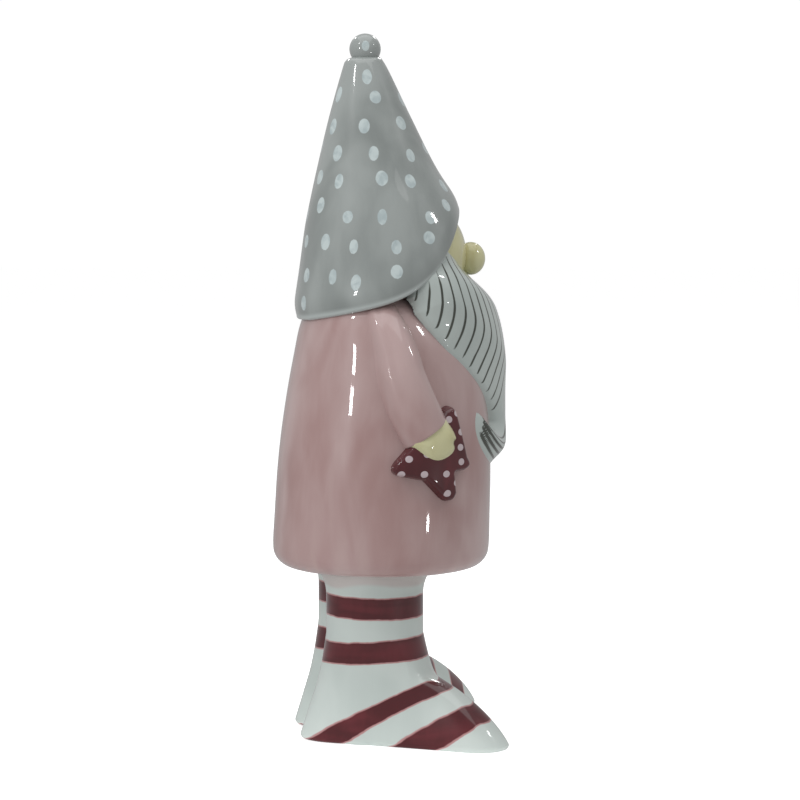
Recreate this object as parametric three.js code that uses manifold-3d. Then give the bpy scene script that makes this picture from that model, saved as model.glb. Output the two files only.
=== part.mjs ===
// A tomte gnome figurine of slip-cast, glazed and hand-painted ceramic.
// It faces -Y, its right side is -X, +Z is up, and it stands on z = 0. Millimetres.
//
// Body sections are written as they are seen from the side: `back` and `front` are how far a
// section reaches behind and before the figure's plumb line, and `half` is half its width.

import * as THREE from 'three';
import { mergeVertices } from 'three/addons/utils/BufferGeometryUtils.js';
import Module from 'manifold-3d';

const wasm = await Module();
wasm.setup();

// ---- Driving dimensions -------------------------------------------------------------------

const GAP = 0.3; // clearance between neighbouring pieces
const WALL = 4; // thickness of a cast wall
const HAT_WALL = 3.2;
const PLUMB_SHIFT = 4.2; // the plumb line stands this far behind the origin

const FLOOR_Z = 72; // underside of the tunic
const ANKLE_Z = 36.5; // where a sock meets its foot
const SOLE = 4; // thickness of a sole plate

const RIGHT = -1;
const LEFT = 1;

const TUNIC = [
  { z: FLOOR_Z, back: -46, front: 29.5, half: 39.5 },
  { z: 73.2, back: -50.6, front: 34, half: 43.6 },
  { z: 76.6, back: -54, front: 37.3, half: 47 },
  { z: 82, back: -55, front: 38.4, half: 48 },
  { z: 96, back: -54.2, front: 38.7, half: 48 },
  { z: 113, back: -53.1, front: 39, half: 47.4 },
  { z: 130, back: -51.3, front: 38.6, half: 46 },
  { z: 148, back: -48.6, front: 36.6, half: 44 },
  { z: 164, back: -45.6, front: 31.6, half: 41.5 },
  { z: 176, back: -43, front: 24, half: 38.4 },
  { z: 184, back: -39, front: 17, half: 34 },
  { z: 190, back: -31, front: 9, half: 26 },
  { z: 193.5, back: -20, front: -1, half: 14 },
];

const HAT = [
  { z: 174, back: -46.6, front: 48.6, half: 44 },
  { z: 186, back: -45.4, front: 44.6, half: 41.8 },
  { z: 201, back: -43.2, front: 38.6, half: 38 },
  { z: 217, back: -41, front: 31.8, half: 33.7 },
  { z: 227, back: -39.1, front: 26.4, half: 30.4 },
  { z: 243, back: -35.6, front: 15.6, half: 23.8 },
  { z: 264, back: -30.6, front: 4.9, half: 16.4 },
  { z: 284, back: -25, front: -4.8, half: 9.4 },
  { z: 290, back: -23, front: -8.4, half: 6.8 },
];
const BRIM = { z: 178.4, back: -42.8, depth: 69.4, slope: 14, sweep: 32, power: 5 };
const BOBBLE = { z: 293.4, forward: -15, radius: 6.6 };

const HEAD = { z: 206, forward: 5, height: 24, depth: 23.5, half: 26 };
const NOSE = { z: 204.4, forward: 31.7, radius: 5.2 };

const BEARD = [
  { z: 114, back: -54, front: 37.5, half: 36 },
  { z: 117, back: -55, front: 41.6, half: 37.4 },
  { z: 122, back: -55.5, front: 45, half: 38 },
  { z: 130, back: -55.5, front: 46.6, half: 38 },
  { z: 146, back: -55, front: 46.5, half: 38 },
  { z: 162, back: -55, front: 45.8, half: 37.6 },
  { z: 176, back: -53, front: 43.6, half: 39.6 },
  { z: 188, back: -50, front: 39.6, half: 40.6 },
  { z: 198, back: -46, front: 34.6, half: 38 },
  { z: 212, back: -40, front: 27, half: 32 },
];

const SOCK = { middle: 18.6, back: -33.8, front: 7.6, half: 16.4, flare: 2.4 };
const SPLAYED_FOOT = [ // the sole's outline: side is measured out from the middle of the figure
  { side: 14, forward: -45.2 },
  { side: 24.5, forward: -39 },
  { side: 35, forward: -17 },
  { side: 46, forward: 7 },
  { side: 55.5, forward: 29 },
  { side: 47.5, forward: 40.8 },
  { side: 30, forward: 31 },
  { side: 9, forward: 8 },
  { side: 2.6, forward: -14 },
  { side: 4, forward: -37 },
];

const SLEEVE = [ // along the arm; turn is the angle on the tunic's side, towards the front
  { z: 188, turn: 2, radius: 7.6, out: -6.5 },
  { z: 172, turn: 2, radius: 9.4, out: -3.5 },
  { z: 157, turn: 4, radius: 10.2, out: -1.8 },
  { z: 145, turn: 9.5, radius: 10, out: -0.6 },
  { z: 132, turn: 17, radius: 9.2, out: 0.4 },
];
const HAND = [
  { z: 136, turn: 14.5, radius: 7.4, out: 2 },
  { z: 129, turn: 19, radius: 8.4, out: 3 },
  { z: 120, turn: 23.5, radius: 7, out: 3.2 },
];
const STAR = { z: 123.5, turn: 22, reach: 21, waist: 11.6, tip: 3, thick: 4.8, spin: 64 };

const COLOURS = {
  hat: '#8f9390', skin: '#dccf9e', beard: '#e9efec', tunic: '#c48a8c',
  star: '#6d2230', sock: '#e6ece9', sole: '#cfcdc4',
};

// ---- Helpers ------------------------------------------------------------------------------

const place = (side, forward, z) => new THREE.Vector3(side, -(forward + PLUMB_SHIFT), z);

/** Keeps the positions only, joins seams and poles, and turns the faces outwards. */
function closed(geometry) {
  for (const name of Object.keys(geometry.attributes)) {
    if (name !== 'position') geometry.deleteAttribute(name);
  }
  const merged = mergeVertices(geometry, 1e-3);
  const corner = [new THREE.Vector3(), new THREE.Vector3(), new THREE.Vector3()];
  const index = merged.index.array;
  let volume = 0;
  for (let i = 0; i < index.length; i += 3) {
    corner.forEach((v, k) => v.fromBufferAttribute(merged.attributes.position, index[i + k]));
    volume += corner[0].dot(corner[1].clone().cross(corner[2]));
  }
  if (volume < 0) {
    for (let i = 0; i < index.length; i += 3) {
      [index[i], index[i + 1]] = [index[i + 1], index[i]];
    }
  }
  return merged;
}

function solid(geometry) {
  const shape = closed(geometry);
  return new wasm.Manifold(new wasm.Mesh({
    numProp: 3,
    vertProperties: new Float32Array(shape.attributes.position.array),
    triVerts: new Uint32Array(shape.index.array),
  }));
}

/** Moves every vertex of a geometry by a rule. */
function reshape(geometry, rule) {
  const position = geometry.attributes.position;
  const v = new THREE.Vector3();
  for (let i = 0; i < position.count; i += 1) {
    v.fromBufferAttribute(position, i);
    const moved = rule(v);
    position.setXYZ(i, moved.x, moved.y, moved.z);
  }
  return geometry;
}

/** The section of a lofted body at u, from 0 at its first station to 1 at its last. */
function sectionAlong(stations, u) {
  const read = (key) => new THREE.SplineCurve(
    stations.map((s) => new THREE.Vector2(s[key], s.z)),
  ).getPoint(u);
  const back = read('back');
  return { z: back.y, back: back.x, front: read('front').x, half: read('half').x };
}

/** The section of a lofted body at a height. */
function sectionAt(stations, z) {
  let low = 0;
  let high = 1;
  for (let step = 0; step < 24; step += 1) {
    const middle = (low + high) / 2;
    if (sectionAlong(stations, middle).z < z) low = middle;
    else high = middle;
  }
  return sectionAlong(stations, low);
}

/** A closed body through elliptical sections, grown by a few tenths or shrunk by a wall. */
function loft(stations, { grow = 0, side = 0, lift = 0, around = 32, rows = 14 } = {}) {
  const sections = [];
  for (let row = 0; row <= rows; row += 1) sections.push(sectionAlong(stations, row / rows));
  const tube = new THREE.CylinderGeometry(1, 1, rows, around, rows);
  return solid(reshape(tube, (v) => {
    const row = Math.round(v.y + rows / 2);
    const s = sections[row];
    const middle = (s.back + s.front) / 2;
    const depth = (s.front - s.back) / 2 + grow;
    const end = row === 0 ? -grow : row === rows ? grow : 0;
    return place(side + v.x * (s.half + grow), middle + v.z * depth, s.z + end + lift);
  }));
}

function ball({ side = 0, forward, z, radius, height = radius, depth = radius, half = radius },
  grow = 0, around = 24, rows = 14) {
  const sphere = new THREE.SphereGeometry(1, around, rows);
  return solid(reshape(sphere, (v) => place(
    side + v.x * (half + grow), forward + v.z * (depth + grow), z + v.y * (height + grow),
  )));
}

/** An upright elliptical post, used for openings. */
function post({ side = 0, forward, half, depth, from, to }, around = 32) {
  const tube = new THREE.CylinderGeometry(1, 1, 1, around);
  return solid(reshape(tube, (v) => place(
    side + v.x * half, forward + v.z * depth, v.y < 0 ? from : to,
  )));
}

/** A point over the tunic's side: turn is in degrees from the side towards the front. */
function overTunic(side, turn, z, out) {
  const s = sectionAt(TUNIC, Math.min(z, 190));
  const angle = THREE.MathUtils.degToRad(turn);
  const depth = (s.front - s.back) / 2;
  const across = Math.cos(angle) / s.half;
  const along = Math.sin(angle) / depth;
  const stretch = out / Math.hypot(across, along);
  return {
    x: side * (s.half * Math.cos(angle) + across * stretch),
    forward: (s.back + s.front) / 2 + depth * Math.sin(angle) + along * stretch,
    z,
  };
}

/** A round-ended limb that lies along the tunic's side. */
function limb(side, stations, grow, { around = 14, rows = 12, blunt = 8 } = {}) {
  const read = (key, u) => new THREE.SplineCurve(
    stations.map((s, i) => new THREE.Vector2(i, s[key])),
  ).getPoint(u).y;
  const middle = (u) => {
    const at = overTunic(side, read('turn', u), read('z', u), read('out', u));
    return place(at.x, at.forward, at.z);
  };
  const sphere = new THREE.SphereGeometry(1, around, rows);
  return solid(reshape(sphere, (v) => {
    const u = Math.min(1, Math.max(0, (1 - v.y) / 2));
    const step = 0.01;
    const centre = middle(u);
    const along = middle(Math.min(1, u + step)).sub(middle(Math.max(0, u - step))).normalize();
    const outward = new THREE.Vector3(centre.x, 0, 0).normalize();
    const across = new THREE.Vector3().crossVectors(along, outward).normalize();
    outward.crossVectors(across, along).normalize();
    const round = Math.sqrt(Math.max(0, 1 - Math.abs(v.y) ** blunt));
    const ring = Math.hypot(v.x, v.z) || 1;
    const radius = (read('radius', u) + grow) * round;
    return centre
      .addScaledVector(along, grow * -v.y)
      .addScaledVector(across, (v.x / ring) * radius)
      .addScaledVector(outward, (v.z / ring) * radius);
  }));
}

/** A prism across the figure from an outline drawn in (forward, z) or (side, z). */
function prism(shape, depth, curveSegments, rule) {
  const flat = new THREE.ExtrudeGeometry(shape, { depth, bevelEnabled: false, curveSegments });
  return solid(reshape(flat, rule));
}

// ---- Pieces -------------------------------------------------------------------------------

const figure = new THREE.Group();

function add(name, shape, colour, roughness = 0.12) {
  const mesh = shape.getMesh();
  const geometry = new THREE.BufferGeometry();
  geometry.setAttribute('position', new THREE.BufferAttribute(mesh.vertProperties, 3));
  geometry.setIndex(new THREE.BufferAttribute(mesh.triVerts, 1));
  geometry.computeVertexNormals();
  const glaze = new THREE.MeshStandardMaterial({ color: colour, roughness, metalness: 0 });
  const part = new THREE.Mesh(geometry, glaze);
  part.name = name;
  figure.add(part);
}

// The hat: a leaning hollow cone whose brim is level behind and sweeps up to the forehead.
function brimHeight(forward) {
  const u = Math.max(0, (forward - BRIM.back) / BRIM.depth);
  return BRIM.z + BRIM.slope * u + BRIM.sweep * u ** BRIM.power;
}

function underBrim(drop) {
  const reach = 60;
  const outline = new THREE.Shape();
  outline.moveTo(-reach, BRIM.z - 30);
  outline.lineTo(-reach, brimHeight(-reach) - drop);
  const steps = 20;
  for (let i = 0; i <= steps; i += 1) {
    const forward = BRIM.back + (i / steps) * (BRIM.depth + 8);
    outline.lineTo(forward, brimHeight(forward) - drop);
  }
  outline.lineTo(reach, BRIM.z - 30);
  return prism(outline, 2 * reach, 1, (v) => place(v.z - reach, v.x, v.y));
}

const HAT_ROWS = 11;
const hatInside = loft(HAT, { grow: -HAT_WALL, lift: -1, around: 24, rows: HAT_ROWS });
const hat = loft(HAT, { rows: HAT_ROWS }).subtract(hatInside).subtract(underBrim(0));
const hatSpace = loft(HAT, { grow: GAP, rows: HAT_ROWS }).subtract(underBrim(GAP));
add('hat', hat, COLOURS.hat);
add('hat_bobble', ball(BOBBLE, 0, 16, 10).subtract(hatSpace), COLOURS.hat);

// The head: a hollow egg under the hat, open at the neck, and the ball of the nose on it.
const neck = { forward: HEAD.forward, half: 9, depth: 9, from: 176, to: 200 };
const head = ball(HEAD, 0, 24, 12).subtract(ball(HEAD, -WALL, 16, 8)).subtract(post(neck, 16));
const headGrown = ball(HEAD, GAP, 24, 12);
add('head', head, COLOURS.skin);
add('nose', ball(NOSE, 0, 16, 10).subtract(headGrown), COLOURS.skin);

// The tunic: a hollow bell with a rolled hem. A separate floor with a pouring hole closes it.
const TUNIC_ROWS = 16;
const tunicGrown = loft(TUNIC, { grow: GAP, around: 40, rows: TUNIC_ROWS });
const hem = sectionAlong(TUNIC, 0);
const floorPlate = {
  forward: (hem.back + hem.front) / 2,
  half: hem.half - 2,
  depth: (hem.front - hem.back) / 2 - 2,
};
const floorHole = { ...floorPlate, half: floorPlate.half + GAP, depth: floorPlate.depth + GAP };
const tunic = loft(TUNIC, { around: 40, rows: TUNIC_ROWS })
  .subtract(loft(TUNIC, { grow: -WALL, around: 24, rows: TUNIC_ROWS - 4 }))
  .subtract(post({ ...floorHole, from: FLOOR_Z - 1, to: FLOOR_Z + WALL + 1 }, 32))
  .subtract(headGrown);
add('tunic', tunic, COLOURS.tunic);

const pouringHole = { forward: -38, half: 6, depth: 4, from: FLOOR_Z - 1, to: FLOOR_Z + WALL + 1 };
add('tunic_floor', post({ ...floorPlate, from: FLOOR_Z, to: FLOOR_Z + WALL }, 32)
  .subtract(post(pouringHole, 16)), COLOURS.sole);

// The star that the right hand holds lies on the tunic, bent to its curve.
function star(grow) {
  const outline = new THREE.Shape();
  for (let point = 0; point < 5; point += 1) {
    const angle = THREE.MathUtils.degToRad(STAR.spin + point * 72);
    const half = THREE.MathUtils.degToRad(36);
    const tip = new THREE.Vector2(Math.cos(angle), Math.sin(angle));
    const across = new THREE.Vector2(-tip.y, tip.x);
    const notch = new THREE.Vector2(Math.cos(angle + half), Math.sin(angle + half));
    const shoulder = tip.clone().multiplyScalar(STAR.reach - STAR.tip + grow);
    const near = shoulder.clone().addScaledVector(across, -STAR.tip - grow);
    const far = shoulder.clone().addScaledVector(across, STAR.tip + grow);
    const end = tip.clone().multiplyScalar(STAR.reach + STAR.tip + grow);
    if (point === 0) outline.moveTo(near.x, near.y);
    else outline.lineTo(near.x, near.y);
    outline.quadraticCurveTo(end.x, end.y, far.x, far.y);
    notch.multiplyScalar(STAR.waist + grow);
    outline.lineTo(notch.x, notch.y);
  }
  const roundEdge = 1.2;
  const slab = new THREE.ExtrudeGeometry(outline, {
    depth: STAR.thick + 3 - roundEdge + grow,
    bevelSize: roundEdge, bevelThickness: roundEdge, bevelOffset: -roundEdge, bevelSegments: 1,
    curveSegments: 3,
  });
  const bend = sectionAt(TUNIC, STAR.z).half;
  return solid(reshape(slab, (v) => {
    const turn = STAR.turn + THREE.MathUtils.radToDeg(v.x / bend);
    const at = overTunic(RIGHT, turn, STAR.z + v.y, v.z - 3);
    return place(at.x, at.forward, at.z);
  }));
}
add('star', star(0).subtract(tunicGrown), COLOURS.star);

// The beard: a relief over chest and chin whose tapering end hooks round to the gnome's right.
function beardOutline() {
  const outline = new THREE.Shape();
  outline.moveTo(0, 197.4);
  outline.quadraticCurveTo(-16, 197.4, -25, 210);
  outline.lineTo(-42, 210);
  outline.lineTo(-42, 182);
  outline.bezierCurveTo(-34, 168, -26, 160, -19, 152);
  outline.bezierCurveTo(-13, 145, -9, 140, -6, 134);
  outline.bezierCurveTo(-9, 129, -17, 131, -23, 140);
  outline.bezierCurveTo(-28, 130, -20, 117.5, -6, 116);
  outline.bezierCurveTo(8, 115, 17, 126, 22, 142);
  outline.bezierCurveTo(26, 156, 33, 168, 42, 182);
  outline.lineTo(42, 210);
  outline.lineTo(25, 210);
  outline.quadraticCurveTo(16, 197.4, 0, 197.4);
  return outline;
}
const sleeveCut = [RIGHT, LEFT].map((side) => limb(side, SLEEVE, GAP));
const beard = loft(BEARD, { around: 36, rows: 12 })
  .intersect(prism(beardOutline(), 60, 4, (v) => place(v.x, v.z - 8, v.y)))
  .subtract(tunicGrown).subtract(headGrown).subtract(hatSpace)
  .subtract(ball(NOSE, GAP, 16, 10)).subtract(sleeveCut[0]).subtract(sleeveCut[1]);
add('beard', beard, COLOURS.beard);

// The arms lie in relief on the tunic's sides. The left one is bare, the right one holds the star.
const arms = [{ side: RIGHT, name: 'right', held: star(GAP) }, { side: LEFT, name: 'left' }];
for (const arm of arms) {
  let sleeve = limb(arm.side, SLEEVE, 0).subtract(tunicGrown).subtract(hatSpace);
  let hand = limb(arm.side, HAND, 0, { blunt: 2.6, rows: 10 }).subtract(tunicGrown)
    .subtract(limb(arm.side, SLEEVE, GAP));
  if (arm.held) {
    sleeve = sleeve.subtract(arm.held);
    hand = hand.subtract(arm.held);
  }
  add(`${arm.name}_sleeve`, sleeve, COLOURS.tunic);
  add(`${arm.name}_hand`, hand, COLOURS.skin);
}

// The legs: striped socks, each a hollow oval tube that flares where it meets the tunic's floor.
function sock(side) {
  const top = FLOOR_Z - GAP;
  const bottom = ANKLE_Z + GAP;
  const flared = (share) => ({
    back: SOCK.back - SOCK.flare * share,
    front: SOCK.front + SOCK.flare * share,
    half: SOCK.half + 0.6 * SOCK.flare * share,
  });
  return loft([
    { z: bottom, ...flared(0) }, { z: (bottom + top) / 2, ...flared(0) },
    { z: top - 6, ...flared(0.15) }, { z: top, ...flared(1) },
  ], { side, around: 24, rows: 6 });
}

// The feet: long slippers that spread from the ankle to a flat sole, with their toes turned out.
const soleCurve = new THREE.CatmullRomCurve3(
  SPLAYED_FOOT.map((p) => new THREE.Vector3(p.side, p.forward, 0)), true, 'catmullrom', 0.5,
);

/** A foot's closed body, or with `shrink` its hollow, from `bottom` up to the ankle. */
function footBody(side, { shrink = 0, bottom = 0 } = {}) {
  const around = 32;
  const rows = 7;
  const ankleForward = (SOCK.back + SOCK.front) / 2;
  const ankleDepth = (SOCK.front - SOCK.back) / 2;
  const tube = new THREE.CylinderGeometry(1, 1, rows, around, rows);
  return solid(reshape(tube, (v) => {
    const spread = 1 - (v.y + rows / 2) / rows; // 1 at the sole, 0 at the ankle
    const level = spread === 1 ? bottom : ANKLE_Z;
    if (Math.hypot(v.x, v.z) < 0.5) return place(side * SOCK.middle, ankleForward, level);
    const turn = (Math.atan2(v.x, -v.z) / (2 * Math.PI) + 1) % 1; // from the heel outwards
    const edge = soleCurve.getPointAt(turn);
    const way = new THREE.Vector2(edge.x - SOCK.middle, edge.y - ankleForward);
    const edgeReach = way.length() - shrink;
    way.normalize();
    const inner = 1 / Math.hypot(way.x / SOCK.half, way.y / ankleDepth) - shrink;
    const reach = Math.max(0, edgeReach - inner);
    const toe = THREE.MathUtils.smoothstep(reach, 10, 40); // short slopes straight, long ones round
    const share = Math.sin(spread * Math.PI / 2);
    const fall = (1 - share ** (1 + 0.25 * toe)) ** (1 - 0.5 * toe);
    const far = inner + reach * share;
    const height = spread === 0 ? ANKLE_Z : Math.max(bottom, ANKLE_Z * fall - shrink * 0.8);
    return place(
      side * (SOCK.middle + way.x * far), ankleForward + way.y * far,
      spread === 1 ? bottom : height,
    );
  }));
}

const ankle = {
  forward: (SOCK.back + SOCK.front) / 2,
  half: SOCK.half - WALL,
  depth: (SOCK.front - SOCK.back) / 2 - WALL,
};
for (const { side, name } of arms) {
  const at = side * SOCK.middle;
  const bore = post({ ...ankle, side: at, from: SOLE + 8, to: FLOOR_Z + 5 }, 24);
  const footHole = { side: at, forward: 6, half: 5, depth: 5, from: -1, to: SOLE + 1 };
  add(`${name}_sock`, sock(at).subtract(bore), COLOURS.sock);
  add(`${name}_foot`, footBody(side)
    .subtract(footBody(side, { shrink: WALL, bottom: -1 })).subtract(bore), COLOURS.sock);
  add(`${name}_sole`, footBody(side, { shrink: WALL + GAP, bottom: -1 })
    .intersect(post({ side: at, forward: 0, half: 90, depth: 90, from: 0, to: SOLE }, 8))
    .subtract(post(footHole, 16)), COLOURS.sole);
}

export default figure;
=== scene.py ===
# %% [markdown]
# # A tomte gnome of painted, glazed ceramic
# The gnome is slip-cast: liquid clay is poured into plaster moulds, the thin casts are luted
# together, coloured with a brush and covered with one clear, shiny glaze. We dress the plain
# CAD model with fine meshes and give each colour its own glaze. The CAD model sets every size.

# %% Load the fixed frame and measure it
import math
import random

import bmesh
import bpy
import numpy as np
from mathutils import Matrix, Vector
from mathutils.geometry import interpolate_bezier
from mathutils.kdtree import KDTree


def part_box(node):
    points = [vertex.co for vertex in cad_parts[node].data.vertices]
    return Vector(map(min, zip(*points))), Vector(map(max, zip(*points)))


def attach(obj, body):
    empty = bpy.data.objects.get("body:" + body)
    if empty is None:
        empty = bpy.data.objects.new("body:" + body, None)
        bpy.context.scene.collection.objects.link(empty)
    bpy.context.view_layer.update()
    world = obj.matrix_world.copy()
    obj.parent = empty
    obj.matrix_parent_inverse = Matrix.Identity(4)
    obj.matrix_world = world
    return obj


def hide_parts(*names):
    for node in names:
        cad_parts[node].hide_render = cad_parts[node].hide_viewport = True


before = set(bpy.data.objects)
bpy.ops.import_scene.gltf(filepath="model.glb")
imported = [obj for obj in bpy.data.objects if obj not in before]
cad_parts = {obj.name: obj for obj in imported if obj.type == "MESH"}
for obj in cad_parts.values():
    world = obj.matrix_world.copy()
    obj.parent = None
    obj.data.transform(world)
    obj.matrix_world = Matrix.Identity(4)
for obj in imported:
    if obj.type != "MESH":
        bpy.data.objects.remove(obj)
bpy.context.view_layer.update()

# %% [markdown]
# ## Units and places
# A maker thinks in millimetres and speaks of the gnome's own front and side, so we do too.
# `place` turns "so far to the left side, so far forward, so high" into Blender's metres. The
# gnome looks along -Y, and its plumb line stands a little behind the middle of its box.

# %% Millimetres, and the gnome's own directions
MM = 0.001
PLUMB_SHIFT = 4.2


def place(side, forward, z):
    """A point in metres from millimetres to the gnome's left, to its front and upwards."""
    return Vector((side * MM, -(forward + PLUMB_SHIFT) * MM, z * MM))


hat_low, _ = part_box("hat")
tunic_low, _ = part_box("tunic")
FLOOR_Z = tunic_low.z / MM
print("tunic underside at", round(FLOOR_Z, 2), "mm, hat brim from", round(hat_low.z / MM, 2))

# %% [markdown]
# ## Bodies as sections
# The tunic, hat and beard swell and lean, so no turned shape fits them. Each is described by
# a few level sections: how far it reaches back and forward of the plumb line, and half its
# width. A smooth curve runs through the sections, as a modeller runs a batten along ribs.

# %% The sections of the big bodies: height, back, front, half width
TUNIC = [
    (FLOOR_Z, -46, 29.5, 39.5), (73.2, -50.6, 34, 43.6), (76.6, -54, 37.3, 47),
    (82, -55, 38.4, 48), (96, -54.2, 38.7, 48), (113, -53.1, 39, 47.4),
    (130, -51.3, 38.6, 46), (148, -48.6, 36.6, 44), (164, -45.6, 31.6, 41.5),
    (176, -43, 24, 38.4), (184, -39, 17, 34), (190, -31, 9, 26), (193.5, -20, -1, 14),
]
HAT = [
    (174, -46.6, 48.6, 44), (186, -45.4, 44.6, 41.8), (201, -43.2, 38.6, 38),
    (217, -41, 31.8, 33.7), (227, -39.1, 26.4, 30.4), (243, -35.6, 15.6, 23.8),
    (264, -30.6, 4.9, 16.4), (284, -25, -4.8, 9.4), (290, -23, -8.4, 6.8),
]
BEARD = [
    (112, -54, 35.5, 35), (117, -55, 41.6, 37.4), (122, -55.5, 45, 38),
    (130, -55.5, 46.4, 38), (146, -55, 46.4, 38), (162, -55, 45.8, 37.6),
    (176, -53, 43.6, 39.6), (188, -50, 39.6, 40.6), (198, -46, 35.2, 38),
    (212, -40, 27, 32),
]


def run_through(points, u):
    """A smooth curve through points of any number of values; u goes from 0 to 1."""
    spans = len(points) - 1
    x = min(max(u, 0.0), 1.0) * spans
    i = min(int(x), spans - 1)
    f = x - i
    a, b = points[max(i - 1, 0)], points[i]
    c, d = points[i + 1], points[min(i + 2, spans)]
    return tuple(
        0.5 * (2 * q + (r - p) * f + (2 * p - 5 * q + 4 * r - s) * f ** 2
               + (3 * q - p - 3 * r + s) * f ** 3)
        for p, q, r, s in zip(a, b, c, d)
    )


def rib_table(stations, steps=400):
    """The sections at many heights, to look one up by height."""
    return np.array([run_through(stations, i / steps) for i in range(steps + 1)])


TABLES = {"tunic": rib_table(TUNIC), "hat": rib_table(HAT), "beard": rib_table(BEARD)}


def section(body, z):
    """Middle, half depth and half width of a body at a height."""
    table = TABLES[body]
    back, front, half = (float(np.interp(z, table[:, 0], table[:, k])) for k in (1, 2, 3))
    return (back + front) / 2, (front - back) / 2, half


def on_body(body, turn, z, out=0.0):
    """A point on or over a body. Turn is in radians: 0 in front, positive to its right."""
    middle, depth, half = section(body, z)
    across, along = -math.sin(turn) / half, math.cos(turn) / depth
    reach = out / math.hypot(across, along)
    return place(-half * math.sin(turn) + across * reach,
                 middle + depth * math.cos(turn) + along * reach, z)


print("tunic at half height:", [round(v, 1) for v in section("tunic", 130)])

# %% [markdown]
# ## Wrapping a grid
# Nearly every piece starts as a flat grid from `bmesh.ops.create_grid`. A rule moves each
# vertex from its place in the grid, s across and t along, to its place on the piece. Where
# the grid is rolled into a tube, its two edges and its poles are welded with
# `remove_doubles`. The same s and t also carry the painted marks, so paint follows the clay.

# %% Helpers that turn a grid into a piece
def grid_mesh(columns, rows, rule):
    """A grid of columns by rows, whose vertices a rule in (s, t) has put in place."""
    bm = bmesh.new()
    bmesh.ops.create_grid(bm, x_segments=columns, y_segments=rows, size=1)
    spots = [((v.co.x + 1) / 2, (v.co.y + 1) / 2) for v in bm.verts]
    for vert, (s, t) in zip(bm.verts, spots):
        vert.co = rule(s, t)
    return bm


def weld(bm, gap=0.02):
    """Joins the edges of a rolled grid and turns its faces outwards."""
    bmesh.ops.remove_doubles(bm, verts=bm.verts, dist=gap * MM)
    bmesh.ops.recalc_face_normals(bm, faces=bm.faces)


def finish_piece(name, bm, glaze, node):
    """Makes the object, smooth shaded, riding on the body and standing for its CAD node."""
    mesh = bpy.data.meshes.new(name)
    bm.to_mesh(mesh)
    bm.free()
    mesh.polygons.foreach_set("use_smooth", [True] * len(mesh.polygons))
    piece = bpy.data.objects.new(name, mesh)
    bpy.context.collection.objects.link(piece)
    mesh.materials.append(glaze)
    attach(piece, "root")
    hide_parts(node)
    print(f"{name}: {len(mesh.vertices)} vertices, {len(mesh.polygons)} faces")
    return piece


FAR = 9.0  # stored where a painted edge is too far away to matter


def mark(piece, name, values):
    """Stores one number per vertex, for the glaze to read."""
    layer = piece.data.attributes.new(name, "FLOAT", "POINT")
    layer.data.foreach_set("value", np.asarray(values, dtype=np.float32))


def spots_of(piece):
    """The vertices of a piece in millimetres: side, forward, height."""
    flat = np.empty(len(piece.data.vertices) * 3)
    piece.data.vertices.foreach_get("co", flat)
    co = flat.reshape(-1, 3) / MM
    return np.column_stack([co[:, 0], -co[:, 1] - PLUMB_SHIFT, co[:, 2]])


def ease(low, high, x):
    """0 below low, 1 above high, and a soft step between."""
    f = np.clip((x - low) / (high - low), 0.0, 1.0)
    return f * f * (3 - 2 * f)


# %% [markdown]
# ## The glaze
# Underglaze colour is brushed on in thin, uneven washes, and a clear glaze melts over it. In
# Blender that is one Principled shader: a slightly rough, painted base with a full, smooth
# coat. Noise in the base colour gives the washes, and a very low bump lets the coat ripple.

# %% Node helpers and the glaze they build
def dial(node, values):
    """Sets the plain values of a node's inputs."""
    for name, value in values.items():
        node.inputs[name].default_value = value


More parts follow.
